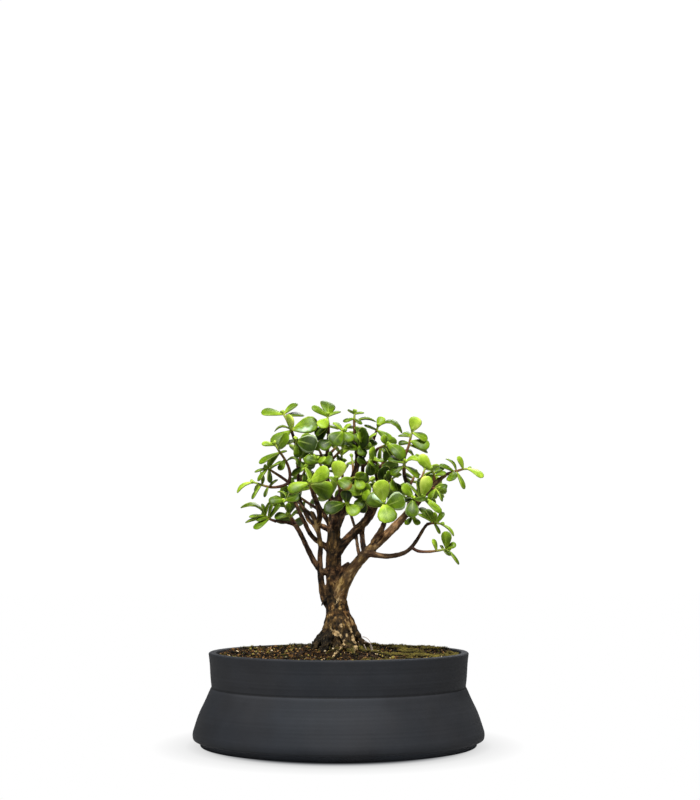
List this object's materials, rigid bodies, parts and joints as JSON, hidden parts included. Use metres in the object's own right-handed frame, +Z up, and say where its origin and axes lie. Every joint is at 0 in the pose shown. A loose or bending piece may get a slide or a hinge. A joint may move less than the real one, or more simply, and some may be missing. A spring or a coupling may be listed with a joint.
{
  "type": "dwarf jade bonsai",
  "caption": "Small potted tree with a flared trunk, forked limbs and thick oval leaves in pairs, growing in soil in a round dark clay pot with a flared skirt.",
  "frame": {"origin": "on the ground under the middle of the round pot", "axes": "+Z up, -Y towards the front from which the tree was seen, +X towards the longer limb"},
  "size_m": [0.2, 0.2, 0.2372],
  "materials": {
    "pot_clay": "satin",
    "black_plastic": "matte",
    "soil_mix": "matte",
    "bark": "matte",
    "jade_leaf": "satin"
  },
  "bodies": {
    "root": {"pot": "pot_clay", "drain_mesh": "black_plastic", "soil": "soil_mix", "wood": "bark", "shoot_crest_left": "jade_leaf", "shoot_round_dark": "jade_leaf", "shoot_left_crest": "jade_leaf", "shoot_left_side": "jade_leaf", "shoot_far_left": "jade_leaf", "shoot_left_low_tip": "jade_leaf", "shoot_left_low_inner": "jade_leaf", "shoot_left_front": "jade_leaf", "shoot_front_left": "jade_leaf", "shoot_left_inner": "jade_leaf", "shoot_crown_top": "jade_leaf", "shoot_spire": "jade_leaf", "shoot_heart": "jade_leaf", "shoot_crest_right": "jade_leaf", "shoot_right_crest": "jade_leaf", "shoot_right_leaf_big": "jade_leaf", "shoot_right_bright": "jade_leaf", "shoot_right_outer": "jade_leaf", "shoot_far_right": "jade_leaf", "shoot_far_right_low": "jade_leaf", "shoot_yellow_pair": "jade_leaf", "shoot_right_round": "jade_leaf", "shoot_right_under": "jade_leaf", "shoot_low_right_tip": "jade_leaf", "shoot_lowest": "jade_leaf", "shoot_front_mid": "jade_leaf", "shoot_front_low": "jade_leaf", "shoot_front_rosette": "jade_leaf", "shoot_crown_inner": "jade_leaf", "shoot_crown_right": "jade_leaf", "shoot_centre_dark": "jade_leaf", "shoot_centre_top": "jade_leaf", "shoot_centre_front": "jade_leaf", "shoot_centre_low": "jade_leaf", "shoot_centre_right_front": "jade_leaf", "shoot_right_inner": "jade_leaf", "shoot_left_low_back": "jade_leaf", "shoot_left_back": "jade_leaf", "shoot_back_top": "jade_leaf", "shoot_back_low": "jade_leaf", "shoot_back_side": "jade_leaf", "shoot_back_right_top": "jade_leaf", "shoot_back_right_low": "jade_leaf", "shoot_back_left_top": "jade_leaf", "shoot_back_left_low": "jade_leaf", "shoot_right_back_top": "jade_leaf", "shoot_right_back_low": "jade_leaf", "shoot_back_thin_top": "jade_leaf", "shoot_top_back": "jade_leaf", "shoot_middle_back": "jade_leaf", "shoot_top_left_back": "jade_leaf", "shoot_crown_low": "jade_leaf", "shoot_top_left_front": "jade_leaf"}
  },
  "joints": []
}
